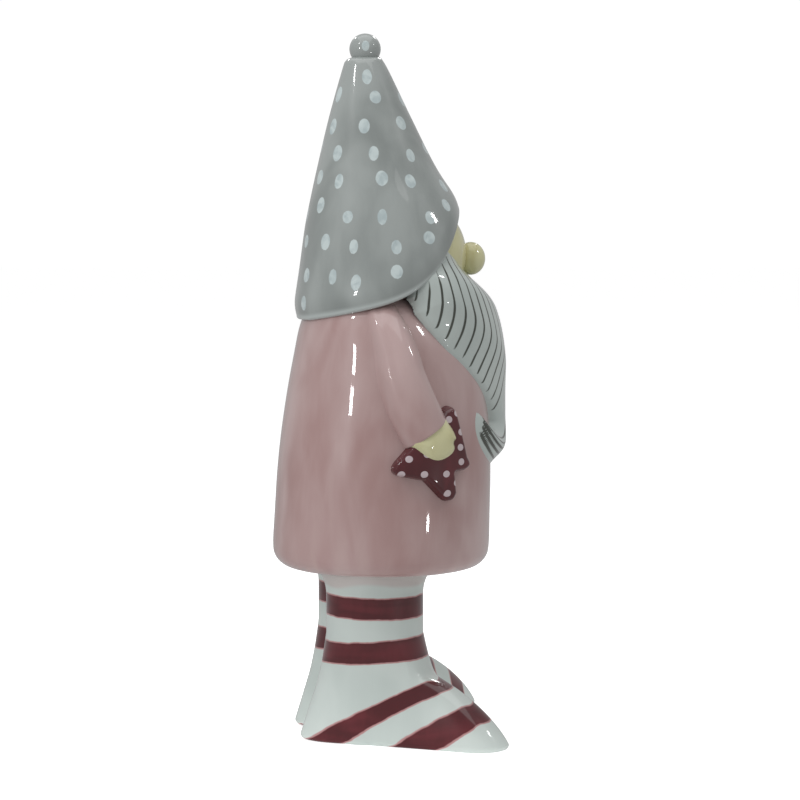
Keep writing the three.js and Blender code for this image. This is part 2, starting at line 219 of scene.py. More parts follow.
class Kiln:
    """A small helper that wires one glaze's nodes."""

    def __init__(self, name, roughness=0.32, coat=1.0):
        self.material = bpy.data.materials.new(name)
        self.material.use_nodes = True
        self.tree = self.material.node_tree
        self.shader = self.tree.nodes["Principled BSDF"]
        dial(self.shader, {
            "Roughness": roughness, "Coat Weight": coat, "Coat Roughness": 0.03,
            "Coat IOR": 1.52, "IOR": 1.5, "Specular IOR Level": 0.25,
        })
        self.where = self.add("ShaderNodeTexCoord").outputs["Object"]

    def add(self, kind, **settings):
        node = self.tree.nodes.new(kind)
        for key, value in settings.items():
            setattr(node, key, value)
        return node

    def join(self, source, socket):
        if hasattr(source, "is_linked"):
            self.tree.links.new(source, socket)
        else:
            socket.default_value = source

    def attribute(self, name):
        return self.add("ShaderNodeAttribute", attribute_name=name).outputs["Fac"]

    def stretch(self, scale):
        node = self.add("ShaderNodeMapping")
        self.join(self.where, node.inputs["Vector"])
        dial(node, {"Scale": scale})
        return node.outputs["Vector"]

    def noise(self, vector, scale, detail=3.0, warp=0.0):
        node = self.add("ShaderNodeTexNoise")
        self.join(vector, node.inputs["Vector"])
        dial(node, {"Scale": scale, "Detail": detail, "Distortion": warp})
        return node.outputs["Fac"]

    def ramp(self, value, low, high, from_value=0.0, to_value=1.0):
        node = self.add("ShaderNodeMapRange", interpolation_type="SMOOTHSTEP")
        self.join(value, node.inputs["Value"])
        dial(node, {"From Min": low, "From Max": high, "To Min": from_value, "To Max": to_value})
        return node.outputs["Result"]

    def math(self, operation, a, b=0.0):
        node = self.add("ShaderNodeMath", operation=operation)
        self.join(a, node.inputs[0])
        self.join(b, node.inputs[1])
        return node.outputs[0]

    def mix(self, share, a, b):
        node = self.add("ShaderNodeMix", data_type="RGBA")
        self.join(share, node.inputs["Factor"])
        self.join(a, node.inputs[6])
        self.join(b, node.inputs[7])
        return node.outputs[2]

    def wavering(self, field, scale, size):
        """A stored field whose edge wavers a little, as a brush's does."""
        shift = self.math("SUBTRACT", self.noise(self.where, scale, 2), 0.5)
        return self.math("ADD", self.attribute(field), self.math("MULTIPLY", shift, size))

    def fire(self, colour, ripple=0.03):
        """Joins the colour and the ripple of the glaze to the shader."""
        self.join(colour, self.shader.inputs["Base Color"])
        bump = self.add("ShaderNodeBump")
        dial(bump, {"Strength": ripple, "Distance": 1.0 * MM})
        self.join(self.noise(self.where, 90, 2), bump.inputs["Height"])
        self.join(bump.outputs["Normal"], self.shader.inputs["Coat Normal"])
        self.join(bump.outputs["Normal"], self.shader.inputs["Normal"])
        return self.material


def rgb(red, green, blue):
    """A colour as it looks on screen, from 0 to 255, made linear for the shader."""
    def linear(v):
        v /= 255
        return v / 12.92 if v <= 0.04045 else ((v + 0.055) / 1.055) ** 2.4
    return (linear(red), linear(green), linear(blue), 1.0)


def brushed(kiln, pale, deep, scale=26, stretch=(1, 1, 0.6), spread=(0.35, 0.68)):
    """A thin wash: broad soft patches with finer brush streaks over them."""
    broad = kiln.noise(kiln.stretch(stretch), scale, 2, 0.8)
    fine = kiln.noise(kiln.stretch((1, 1, 0.3)), scale * 5, 3, 0.4)
    both = kiln.math("ADD", kiln.math("MULTIPLY", broad, 0.82), kiln.math("MULTIPLY", fine, 0.18))
    return kiln.mix(kiln.ramp(both, *spread), pale, deep)


ROSE_PALE, ROSE_DEEP = rgb(196, 170, 168), rgb(172, 137, 134)
WHITE_GLAZE, WHITE_SHADE = rgb(200, 209, 205), rgb(188, 198, 194)
MAROON, MAROON_PALE = rgb(74, 6, 16), rgb(96, 24, 33)
BLEED = rgb(176, 128, 128)


def painted_bands(kiln, ground, field, width=0.28):
    """Maroon where a field is negative, with a thin rim of bled pink round it."""
    edge = kiln.wavering(field, 160, 1.1)
    paint = brushed(kiln, MAROON_PALE, MAROON, 60, (0.35, 0.35, 1.6), (0.3, 0.6))
    rim = kiln.mix(kiln.ramp(edge, width, width * 2.6), BLEED, ground)
    return kiln.mix(kiln.ramp(edge, -width, width * 0.4), paint, rim)


def rose_glaze():
    kiln = Kiln("rose_glaze")
    wash = brushed(kiln, ROSE_PALE, ROSE_DEEP)
    thin = kiln.ramp(kiln.attribute("from_edge"), 0.25, 1.1, 0.75, 0.0)
    return kiln.fire(kiln.mix(thin, wash, rgb(200, 180, 168)))


def skin_glaze():
    kiln = Kiln("skin_glaze")
    return kiln.fire(brushed(kiln, rgb(220, 217, 172), rgb(206, 200, 148), 50))


def grey_glaze():
    kiln = Kiln("grey_glaze")
    ground = brushed(kiln, rgb(164, 170, 168), rgb(140, 146, 144), 30)
    rim = kiln.mix(kiln.ramp(kiln.attribute("from_edge"), 0.6, 3.2), rgb(184, 192, 190), ground)
    edge = kiln.wavering("dab", 260, 0.4)
    paint = brushed(kiln, rgb(206, 218, 218), rgb(178, 192, 194), 200, (1, 1, 1))
    return kiln.fire(kiln.mix(kiln.ramp(edge, 0.86, 1.06), paint, rim))


def beard_glaze():
    kiln = Kiln("beard_glaze")
    ground = brushed(kiln, WHITE_GLAZE, WHITE_SHADE, 30)
    line = kiln.attribute("from_line")
    press = kiln.noise(kiln.where, 70, 2)
    edge = kiln.math("SUBTRACT", line, kiln.ramp(press, 0.3, 0.7, -0.06, 0.06))
    return kiln.fire(kiln.mix(kiln.ramp(edge, -0.06, 0.13), rgb(62, 66, 58), ground))


def striped_glaze():
    kiln = Kiln("striped_glaze")
    ground = brushed(kiln, WHITE_GLAZE, WHITE_SHADE, 24)
    rose = brushed(kiln, ROSE_PALE, ROSE_DEEP)
    ground = kiln.mix(kiln.ramp(kiln.attribute("under_hem"), 0.6, -1.6, 0.0, 0.45), ground, rose)
    return kiln.fire(painted_bands(kiln, ground, "from_band"))


def maroon_glaze():
    kiln = Kiln("maroon_glaze")
    ground = brushed(kiln, MAROON_PALE, MAROON, 60, (1, 1, 1), (0.3, 0.62))
    dab = kiln.attribute("dab")
    return kiln.fire(kiln.mix(kiln.ramp(dab, 0.84, 1.08), rgb(206, 190, 194), ground))


def bare_clay():
    kiln = Kiln("bare_clay", roughness=0.7, coat=0.0)
    return kiln.fire(brushed(kiln, rgb(226, 224, 214), rgb(206, 203, 192), 80, (1, 1, 1)), 0.25)


ROSE, SKIN, GREY, WHITE = rose_glaze(), skin_glaze(), grey_glaze(), beard_glaze()
STRIPED, DARK, CLAY = striped_glaze(), maroon_glaze(), bare_clay()
print("glazes:", [m.name for m in (ROSE, SKIN, GREY, WHITE, STRIPED, DARK, CLAY)])

# %% [markdown]
# ## The tunic
# The tunic is a hollow bell. Its grid is rolled round the plumb line and follows the ribs
# from the rim round its floor plate, over the hem and up to the neck. `solidify` then gives the
# cast its wall, after the seam is welded and the normals point outwards.

# %% The tunic and its floor
TUNIC_WALL = 3.2
UNDERSIDE, RIM_WIDTH = 0.06, 2.2  # the grid's share that turns in under the hem, and its width


def tunic_point(s, t):
    turn = math.tau * s
    if t < UNDERSIDE:  # the turned-in rim, from the floor plate's edge to the hem
        middle, depth, half = section("tunic", FLOOR_Z)
        share = 1 - RIM_WIDTH / half * (1 - t / UNDERSIDE)
        return place(-half * share * math.sin(turn), middle + depth * share * math.cos(turn),
                     FLOOR_Z)
    z, back, front, half = run_through(TUNIC, (t - UNDERSIDE) / (1 - UNDERSIDE))
    return place(-half * math.sin(turn),
                 (back + front) / 2 + (front - back) / 2 * math.cos(turn), z)


tunic_mesh = grid_mesh(144, 100, tunic_point)
weld(tunic_mesh)
bmesh.ops.solidify(tunic_mesh, geom=tunic_mesh.faces[:], thickness=TUNIC_WALL * MM)
tunic = finish_piece("tunic_bell", tunic_mesh, ROSE, "tunic")
mark(tunic, "from_edge", spots_of(tunic)[:, 2] - FLOOR_Z + 0.6)


def plate(name, node, columns, inset, edge_of, low, high, hole, glaze):
    """A flat plate with rounded edges and an oval hole, between two heights."""
    bm = bmesh.new()
    rim = bmesh.ops.create_circle(bm, cap_ends=False, segments=columns, radius=1)["verts"]
    for vert in rim:
        vert.co = edge_of(math.atan2(-vert.co.x, -vert.co.y), inset, low)
    well = bmesh.ops.create_circle(bm, cap_ends=False, segments=columns, radius=1)["verts"]
    for vert in well:
        side, forward, across, along = hole
        vert.co = place(side + across * vert.co.x, forward - along * vert.co.y, low)
    bmesh.ops.bridge_loops(bm, edges=bm.edges[:])
    body = bmesh.ops.extrude_face_region(bm, geom=bm.faces[:])
    lifted = [e for e in body["geom"] if isinstance(e, bmesh.types.BMVert)]
    bmesh.ops.translate(bm, verts=lifted, vec=(0, 0, (high - low) * MM))
    bmesh.ops.recalc_face_normals(bm, faces=bm.faces)
    sharp = [e for e in bm.edges if e.calc_face_angle(0) > 1]
    bmesh.ops.bevel(bm, geom=sharp, offset=0.5 * MM, offset_type="OFFSET", segments=2,
                    profile=0.5, affect="EDGES", material=-1, clamp_overlap=True)
    return finish_piece(name, bm, glaze, node)


def hem_edge(turn, inset, z):
    middle, depth, half = section("tunic", FLOOR_Z)
    return place(-(half - inset) * math.sin(turn), middle + (depth - inset) * math.cos(turn), z)


plate("tunic_floor_plate", "tunic_floor", 72, 2.1, hem_edge, FLOOR_Z + 0.2, FLOOR_Z + 4,
      (0, -38, 6, 4), CLAY)

# %% [markdown]
# ## The hat
# The hat is a hollow leaning cone. Its brim is level behind and sweeps up to the forehead, and
# ends in a small rolled bead, where the glaze runs thin and pale. One rolled grid makes it:
# from a pole inside the tip, down the inner wall, round the bead and up to the outer pole.

# %% The hat and its bobble
BRIM_Z, BRIM_BACK, BRIM_DEPTH, BRIM_SLOPE, BRIM_SWEEP = 178.4, -42.8, 69.4, 14, 32
HAT_WALL, BEAD, HAT_TIP, INNER_TIP = 3.2, 1.7, 291.5, 268
BRIM_FADES = 262  # above this height nothing is marked as near the brim
INSIDE, ROLLED = 0.22, 0.34  # the shares of the grid where the inner wall and the bead end


def brim_height(turn):
    """The height of the brim at a turn round the hat."""
    z = BRIM_Z
    for _ in range(12):
        middle, depth, _half = section("hat", z)
        u = max(0.0, (middle + depth * math.cos(turn) - BRIM_BACK) / BRIM_DEPTH)
        z = 0.5 * z + 0.5 * (BRIM_Z + BRIM_SLOPE * u + BRIM_SWEEP * u ** 5)
    return z


def curl_in(above):
    """How far the hat's edge rounds inwards, this far above its bead."""
    return 1.5 * max(0.0, 1 - above / 8) ** 2


def toward_axis(body, turn, z, out, share):
    """A point of a body drawn in towards its middle line: share 1 is the surface."""
    middle, _depth, _half = section(body, min(z, 290))
    return place(0, middle, z).lerp(on_body(body, turn, z, out), share)


brim_rows = {}


def hat_point(s, t):
    turn = math.tau * s
    if turn not in brim_rows:
        brim_rows[turn] = brim_height(turn)
    low = brim_rows[turn] + BEAD
    if t < INSIDE:
        f = t / INSIDE
        share = math.sin(min(1.0, f / 0.25) * math.pi / 2)
        return toward_axis("hat", turn, INNER_TIP + (low - INNER_TIP) * f, -HAT_WALL - curl_in(0), share)
    if t < ROLLED:
        f = (t - INSIDE) / (ROLLED - INSIDE) * math.pi
        out = -HAT_WALL / 2 - HAT_WALL / 2 * math.cos(f)
        return on_body("hat", turn, low - BEAD * math.sin(f), out - curl_in(0))
    f = ((t - ROLLED) / (1 - ROLLED)) ** 1.12
    share = 1.0 if f < 0.97 else math.cos((f - 0.97) / 0.03 * math.pi / 2)
    z = low + (HAT_TIP - low) * f
    return toward_axis("hat", turn, z, -curl_in(z - low), share)


hat_mesh = grid_mesh(200, 150, hat_point)
weld(hat_mesh)
hat = finish_piece("pointed_hat", hat_mesh, GREY, "hat")


def round_piece(name, node, glaze, centre, radii):
    """A ball stretched into an egg."""
    bm = bmesh.new()
    bmesh.ops.create_uvsphere(bm, u_segments=64, v_segments=40, radius=1)
    for vert in bm.verts:
        x, y, z = vert.co
        vert.co = place(centre[0] + radii[0] * x, centre[1] - radii[1] * y,
                        centre[2] + radii[2] * z)
    return finish_piece(name, bm, glaze, node)


bobble = round_piece("hat_bobble_ball", "hat_bobble", GREY, (0, -15, 293.4), (6.7, 6.7, 6.6))

# %% [markdown]
# ## The dabs on the hat
# A loaded brush tip leaves upright oval dabs, in loose rings that are staggered like bricks.
# `dab` stores how far each point is from the nearest dab's middle, where 1 is its edge. The
# glaze turns that number into paint. Random draws use a fixed seed, so each run is the same.

# %% Place the dabs and store their field
DAB_RINGS = [  # height, number round the hat
    (183, 18), (197, 17), (211, 15), (224, 13), (237, 11), (249, 9), (260, 7), (271, 6),
    (281, 4),
]


def dab_field(piece, middles):
    """How far each vertex is from the nearest dab; a dab is (point, half width, half height)."""
    spots = spots_of(piece)
    field = np.full(len(spots), FAR)
    for (x, y, z), wide, tall in middles:
        flat = np.hypot(spots[:, 0] - x, spots[:, 1] - y) / wide
        field = np.minimum(field, flat ** 2 + ((spots[:, 2] - z) / tall) ** 2)
    mark(piece, "dab", field)


def millimetres(point):
    """The gnome's own side, forward and height of a point."""
    return point.x / MM, -point.y / MM - PLUMB_SHIFT, point.z / MM


draws = random.Random(7)
dabs = []
for ring, (height, count) in enumerate(DAB_RINGS):
    for k in range(count):
        turn = math.tau * (k + 0.5 * (ring % 2) + draws.uniform(-0.16, 0.16)) / count
        z = height + draws.uniform(-3.0, 3.0)
        if z > brim_height(turn) + 7:
            middle = millimetres(on_body("hat", turn, z))
            dabs.append((middle, draws.uniform(2.1, 2.8), draws.uniform(2.9, 3.9)))
dab_field(hat, dabs)
dab_field(bobble, [((-6.4, -15.5, 294.4), 1.7, 2.4), ((6.2, -13, 295), 1.7, 2.4)])
hat_spots = spots_of(hat)
forward_reach = np.maximum(0, (hat_spots[:, 1] - BRIM_BACK) / BRIM_DEPTH)
brim_line = BRIM_Z + BRIM_SLOPE * forward_reach + BRIM_SWEEP * forward_reach ** 5
mark(hat, "from_edge", np.where(hat_spots[:, 2] > BRIM_FADES, FAR, hat_spots[:, 2] - brim_line))
mark(bobble, "from_edge", np.full(len(bobble.data.vertices), FAR))
print(len(dabs), "dabs")

# %% [markdown]
# ## The head and the nose
# The head is a hollow egg of which only a little face shows between the hat and the beard. Its
# only feature is a ball nose. Two spheres, moved point by point, are all that it needs.

# %% Face and nose
round_piece("head_egg", "head", SKIN, (0, 5, 206), (26, 23.5, 24))
round_piece("ball_nose", "nose", SKIN, (0, 30.7, 204.3), (6.5, 6.3, 7.1))

# %% [markdown]
# ## Reliefs over a body
# The beard, the star and the hands are reliefs: pads of clay laid on the tunic. We draw each
# outline flat, on the unrolled surface, where the first number runs round the body and the
# second is the height. A fine grid covers the drawing. Every vertex asks how deep it lies in
# the outline; a rounded step lifts the inside and sinks the outside under the tunic's skin.
# Vertices next to the outline snap on to it, so that the edge is clean.

# %% Outlines and the relief maker
def drawn(*strokes, steps=24):
    """A polyline through strokes of four Bezier points, or two for a straight line."""
    line = []
    for stroke in strokes:
        p = [Vector((*point, 0)) for point in stroke]
        if len(p) == 2:
            p = [p[0], p[0].lerp(p[1], 1 / 3), p[0].lerp(p[1], 2 / 3), p[1]]
        line += [(q.x, q.y) for q in interpolate_bezier(*p, steps)[:-1]]
    return np.array(line)


def evenly(points, gap):
    """The same closed line with points a small even gap apart."""
    closed = np.vstack([points, points[:1]])
    along = np.concatenate([[0], np.cumsum(np.hypot(*np.diff(closed, axis=0).T))])
    even = np.linspace(0, along[-1], int(along[-1] / gap), endpoint=False)
    return np.column_stack([np.interp(even, along, closed[:, k]) for k in (0, 1)])


def inside_line(spots, line):
    """Which spots lie inside a closed line, by counting the crossings to their left."""
    inside = np.zeros(len(spots), bool)
    for (ax, ay), (bx, by) in zip(line, np.roll(line, -1, axis=0)):
        if ay != by:
            crosses = (ay > spots[:, 1]) != (by > spots[:, 1])
            inside ^= crosses & (spots[:, 0] < (bx - ax) * (spots[:, 1] - ay) / (by - ay) + ax)
    return inside


def nearest(line, spots):
    """The nearest point of a line, and how far it is, for every spot."""
    tree = KDTree(len(line))
    for i, (a, z) in enumerate(line):
        tree.insert((a, z, 0), i)
    tree.balance()
    found = [tree.find((a, z, 0)) for a, z in spots]
    return np.array([f[0][:2] for f in found]), np.array([f[2] for f in found]), \
        np.array([f[1] for f in found])


def relief(name, node, glaze, outline, gap, rule, margin=1.3):
    """A pad over an outline; rule (a, z, depth inside the outline) gives each point."""
    low, high = outline.min(axis=0) - 2 * margin, outline.max(axis=0) + 2 * margin
    columns, rows = (int(n) for n in np.ceil((high - low) / gap))
    bm = bmesh.new()
    bmesh.ops.create_grid(bm, x_segments=columns, y_segments=rows, size=1)
    share = np.array([(v.co.x + 1, v.co.y + 1) for v in bm.verts]) / 2
    spots = low + share * (high - low)
    line = evenly(outline, 0.08)
    near, reach, _ = nearest(line, spots)
    depth = np.where(inside_line(spots, evenly(outline, 0.5)), reach, -reach)
    snap = np.abs(depth) < gap * 0.55
    spots[snap], depth[snap] = near[snap], 0.0
    for vert, (a, z), d in zip(bm.verts, spots, depth):
        vert.co = rule(a, z, d)
    buried = [v for v, d in zip(bm.verts, depth) if d < -margin]
    bmesh.ops.delete(bm, geom=buried, context="VERTS")
    bmesh.ops.recalc_face_normals(bm, faces=bm.faces)
    kept = depth >= -margin
    if sum(f.normal.dot(f.calc_center_median() - Vector((0, 0, 0.14))) for f in bm.faces) < 0:
        bmesh.ops.reverse_faces(bm, faces=bm.faces)
    return finish_piece(name, bm, glaze, node), spots[kept]


def rounded(depth, width):
    """The height of a rounded edge, from 0 on the outline to 1 at its width inside it."""
    q = min(max(depth / width, 0.0), 1.0)
    return math.sqrt(1 - (1 - q) ** 2)


def sunk(depth, by=1.6):
    """How far the rim outside an outline sinks under the skin it lies on."""
    return -0.25 - by * min(1.0, max(0.0, -depth / 0.8))


# %% [markdown]
# ## The beard
# The beard starts at the temples and under the nose, bulges over the chest and tapers to one
# lock that hooks round to the gnome's right. Its rim is a small lip, from which the relief
# swells slowly inwards: broadly along the slanting edges, and quickly at the hook and under the
# face. The flat drawing's a is measured round the body, so we unroll the outline to it.

# %% The beard's outline and relief
UNROLL = 40.0  # the flat drawing's radius: a turn of one radian is this many millimetres
LIP = 0.2  # the share of the relief that stands up at its very edge
SWELL_AT_HOOK, SWELL_ABOVE_HOOK, SWELL_NEAR_FACE = 8, 11.0, -6.5  # widths, one added to another
TABLES["chest"] = rib_table(TUNIC[:9] + [
    (176, -43, 30, 38.4), (188, -38, 27.5, 34), (198, -30, 26.5, 28), (212, -24, 27.4, 26),
])


def unrolled(side, z):
    half = section("beard", z)[2]
    return UNROLL * math.asin(max(-1.0, min(1.0, side / half))), z


front_outline = drawn(
    ((0, 197.0), (-11, 197.0), (-20, 200), (-25.5, 209)), ((-25.5, 209), (-39, 210)),
    ((-39, 210), (-40.1, 188)), ((-40.1, 188), (-38.9, 182)),
    ((-38.9, 182), (-35, 172), (-27, 160.5), (-19, 152)),
    ((-19, 152), (-13, 145), (-9, 140), (-6, 134)),
    ((-6, 134), (-9, 129), (-17, 131), (-23, 140)),
    ((-23, 140), (-28, 130), (-20, 117.5), (-6, 116)),
    ((-6, 116), (8, 115), (17, 126), (22, 142)),
    ((22, 142), (26, 156), (34, 169), (38.9, 182)), ((38.9, 182), (40.1, 188)),
    ((40.1, 188), (39, 210)), ((39, 210), (25.5, 209)),
    ((25.5, 209), (20, 200), (11, 197.0), (0, 197.0)), steps=60,
)
beard_outline = np.array([unrolled(x, z) for x, z in front_outline])


def beard_point(a, z, depth):
    turn = -a / UNROLL
    skin = on_body("chest", turn, z, sunk(depth))
    width = SWELL_AT_HOOK + SWELL_ABOVE_HOOK * float(ease(130, 158, z))
    width += SWELL_NEAR_FACE * float(ease(155, 200, z))
    swell = min(1.0, max(0.0, depth) / width)
    lift = LIP * rounded(depth, 1.4) + (1 - LIP) * swell * (2 - swell)
    return skin.lerp(on_body("beard", turn, z), lift)


beard, beard_spots = relief("hooked_beard", "beard", WHITE, beard_outline, 0.5, beard_point)

# %% [markdown]
# ## The painted strands
# The strands are single brush strokes. Each starts a few millimetres under the hat or the
# face, swells where the brush is pressed and tapers as it lifts off. On the gnome's right they
# end at the slanting edge; those in front run on down and curl round the hook.

# %% The strokes on the flat drawing
PRESS = 0.42  # half the width of a stroke where the brush is pressed, in millimetres
BELOW_HAIRLINE = 3.0  # how far below the hat or the face a stroke starts


def top_of_stroke(a):
    """Where a stroke starts: under the hat's brim at the sides, under the face in front."""
    side = section("beard", 195)[2] * math.sin(a / UNROLL)
    face = 197.0 + 12 * min(1.0, abs(side) / 25.5) ** 2.4
    return min(face, brim_height(-a / UNROLL)) - BELOW_HAIRLINE


def falling(a, lean, bow, low):
    """A stroke that falls from its top to a height, bows forward and leans as it ends."""
    top = top_of_stroke(a)
    return [(a + bow * math.sin(math.pi * f) - lean * f ** 2, top - (top - low) * f)
            for f in np.linspace(0, 1, 40)]


hollow = drawn(((-6, 134), (-9, 129), (-17, 131), (-23, 140)))
around_hook = drawn(((22, 142), (17, 126), (8, 115), (-6, 116)),
                    ((-6, 116), (-20, 117.5), (-28, 130), (-23, 140)))


def along(line, f):
    """The point at a share f of a polyline, unrolled."""
    k = f * (len(line) - 1)
    x, z = (float(np.interp(k, range(len(line)), line[:, n])) for n in (0, 1))
    return np.array(unrolled(x, z))


def round_hook(k):
    """A stroke of the front that runs down and round the hook's hollow, towards its tip."""
    a, share = -0.6 + 4.9 * k, 0.27 + 0.15 * k
    bend = [along(hollow, f) * (1 - share) + along(around_hook, f) * share
            for f in np.linspace(0, 0.985 - 0.03 * k, 60)]
    (start, low), (start_on, low_on) = bend[0], bend[3]
    rise = 9 * Vector((start - start_on, low - low_on)).normalized()
    down = [(a, top_of_stroke(a)), (a + 0.4, 180), (a * 0.75 + start * 0.25 + 0.6, 162),
            (start + rise.x, low + rise.y), (start, low)]
    return [run_through(down, f) for f in np.linspace(0, 1, 50)] + [tuple(q) for q in bend[1:]]


def strokes_on_beard():
    """Every stroke as a list of (a, z) points."""
    right = [falling(-5.2 - 4.5 * k, 5 - 0.4 * k, 1.2, 133) for k in range(12)]
    left = [falling(23.6 + 4.6 * k, 6, -1.0, 128) for k in range(8)]
    return right + left + [round_hook(k) for k in range(5)]


def stroke_field(spots, strokes):
    """The square of the distance to the strokes, less the square of their half width."""
    points, widths = [], []
    for path in strokes:
        path = np.array(path)
        _, reach, _ = nearest(evenly(beard_outline, 0.3), path)
        inner = inside_line(path, evenly(beard_outline, 0.5)) & (reach > 0.15)
        if not inner.any():
            continue
        first = int(np.argmax(inner))
        last = first + int(np.argmin(np.append(inner[first:], False)))
        path = path[first:last]
        if len(path) < 4:
            continue
        steps = np.linspace(0, len(path) - 1, len(path) * 8)
        fine = np.column_stack([np.interp(steps, range(len(path)), path[:, k]) for k in (0, 1)])
        run = np.concatenate([[0], np.cumsum(np.hypot(*np.diff(fine, axis=0).T))])
        points.append(fine)
        widths.append(PRESS * np.minimum(1, run / 8 + 0.5)
                      * np.minimum(1, (run[-1] - run) / 3 + 0.6))
    _, reach, which = nearest(np.vstack(points), spots)
    return reach ** 2 - np.concatenate(widths)[which] ** 2


field = stroke_field(beard_spots, strokes_on_beard())
mark(beard, "from_line", np.clip(field, -1, 6))
print("strokes drawn")

# %% [markdown]
# ## The sleeves
# A sleeve is a half-round roll of clay along the tunic's side, with a soft fold and a low ridge. Its back
# melts into the tunic, and its front edge is crisp. The grid runs across and along the arm;
# its last rows turn in over the cuff, where the hand comes out.

# %% Two sleeves from one rule
ARM = [  # height, turn from the side towards the front in degrees, half width, height of relief
    (190, -3.5, 9.8, 0.5), (181, -1.8, 10.8, 3.6), (172, 0, 11.4, 6.2), (164, 1, 11.6, 7.8),
    (157, 2.2, 11.6, 8.7), (147, 6.5, 11.4, 9.3), (140, 10.4, 11, 9.3), (133.4, 14.4, 10.6, 9.0),
]
ARM_ROUND = 45.0  # millimetres of the flat drawing for one radian round the tunic
CUFF, OVERHANG = 0.88, 1.06  # the grid's share above the cuff, and its reach past both edges


def over_side(side, a, z, out):
    """A point over a flank: a runs forward from the middle of the gnome's side."""
    turn = math.pi / 2 - a / ARM_ROUND
    return on_body("tunic", -side * turn, min(z, 190), out) + Vector((0, 0, max(0, z - 190) * MM))


def arm_at(v):
    z, degrees, wide, high = run_through(ARM, v)
    return ARM_ROUND * math.radians(degrees), z, wide, high


def sleeve_rule(side):
    def rule(s, t):
        across = math.sin((s - 0.5) * math.pi) * OVERHANG  # more columns near the edges
        v = min(1.0, t / CUFF)
        a, z, wide, high = arm_at(v)
        a2, z2, _, _ = arm_at(min(1.0, v + 0.02))
        a1, z1, _, _ = arm_at(max(0.0, v - 0.02))
        way = Vector((a2 - a1, z2 - z1)).normalized()
        turned = max(0.0, (t - CUFF) / (1 - CUFF))
        on, drop = 0.0, 0.0
        if turned > 0:  # the rounded rim of the cuff, then back inside the sleeve
            angle = min(1.0, turned / 0.5) * math.pi
            on = 0.7 * math.sin(angle) - 3.0 * max(0.0, turned - 0.5) * 2
            drop = 0.7 * (1 - math.cos(angle))
        reach = min(1.0, abs(across))
        full = float(ease(0.5, 0.95, v))
        power, foot = (2.0 + 0.4 * full, 1.35 - 0.75 * full) if across < 0 else (2.6, 0.62)
        dome = max(0.0, 1 - reach ** power) ** foot
        soft = math.sin(math.pi * v ** 0.9)
        fold = 1.3 * math.exp(-((across + 0.2) / 0.25) ** 2) * max(0.0, soft) ** 0.8
        ridge = 0.3 * math.exp(-((across + 0.62) / 0.2) ** 2) * soft
        out = (high - fold + ridge) * dome - drop * min(1.0, dome * 3) - 0.3
        out -= 2.5 * max(0.0, abs(across) - 1) / 0.06
        shift = across * (wide - drop) + 1.2 * math.sin(2 * math.pi * v) * 0.3
        slant = 2.2 * across * max(0.0, v - 0.8) / 0.2
        spot = Vector((a, z)) + Vector((-way.y, way.x)) * shift + way * (on - slant)
        return over_side(side, spot.x, spot.y, out)
    return rule


SIDES = {"right": -1, "left": 1}
for name, side in SIDES.items():
    bm = grid_mesh(72, 110, sleeve_rule(side))
    bmesh.ops.recalc_face_normals(bm, faces=bm.faces)
    if sum(f.normal.x * side for f in bm.faces) < 0:
        bmesh.ops.reverse_faces(bm, faces=bm.faces)
    sleeve = finish_piece(f"{name}_sleeve_roll", bm, ROSE, f"{name}_sleeve")
    blank = bmesh.new()
    bmesh.ops.create_grid(blank, x_segments=72, y_segments=110, size=1)
    across = np.array([math.sin(v.co.x * math.pi / 2) * OVERHANG for v in blank.verts])
    along = np.array([(v.co.y + 1) / 2 for v in blank.verts])
    blank.free()
    front_edge = (0.965 - across) * 11
    cuff_edge = np.abs(along - CUFF - 0.02) * 56 / CUFF
    mark(sleeve, "from_edge", np.minimum(np.abs(front_edge), cuff_edge))

# %% [markdown]
# ## The star and the hands
# The right hand holds a fat five-pointed star against the tunic; the left hand is empty. Both
# are reliefs. The star's rim is rounded like a biscuit's. A mitten lies over it, with a small
# notch where the thumb parts from the palm.

# %% The star and its dots
STAR_Z, STAR_TURN, STAR_TIP, STAR_THICK = 123.3, 20.4, 3.4, 5.0
STAR_TIPS = [(71, 22.3), (-17, 16.6), (-72, 20.9), (-163, 20.4), (-232, 16)]  # degrees, reach
STAR_NOTCHES = [13.4, 10.6, 11.6, 13, 12]  # the waist after each tip
star_a = ARM_ROUND * math.radians(STAR_TURN)


def star_outline():
    """Five rounded tips and the soft notches between them."""
    corners = []
    for k, (degrees, reach) in enumerate(STAR_TIPS):
        angle = math.radians(degrees)
        following = math.radians(STAR_TIPS[(k + 1) % 5][0] - (360 if k == 4 else 0))
        tip = Vector((math.cos(angle), math.sin(angle)))
        across = Vector((-tip.y, tip.x))
        halfway = (angle + following) / 2
        notch = Vector((math.cos(halfway), math.sin(halfway))) * STAR_NOTCHES[k]
        near = tip * (reach - STAR_TIP) + across * STAR_TIP
        far = tip * (reach - STAR_TIP) - across * STAR_TIP
        corners.append((near, tip * (reach + STAR_TIP * 0.5), far, notch))
    strokes = []
    for k, (near, end, far, notch) in enumerate(corners):
        beyond = corners[(k + 1) % 5][0]
        strokes.append((near, near.lerp(end, 0.66), far.lerp(end, 0.66), far))
        strokes.append((far, far.lerp(notch, 0.65), notch.lerp(far, 0.15), notch.lerp(far, -0.04)
                        .lerp(notch, 0.5)))
        strokes.append((strokes[-1][3], notch.lerp(beyond, 0.15), beyond.lerp(notch, 0.65),
                        beyond))
    return drawn(*[[(p.x + star_a, p.y + STAR_Z) for p in stroke] for stroke in strokes])


def star_point(a, z, depth):
    bulge = 0.9 * math.exp(-((a - star_a) ** 2 + (z - STAR_Z) ** 2) / 180)
    return over_side(-1, a, z, sunk(depth) + (STAR_THICK + bulge) * rounded(depth, 2.2))


star, star_spots = relief("held_star", "star", DARK, star_outline(), 0.4, star_point)

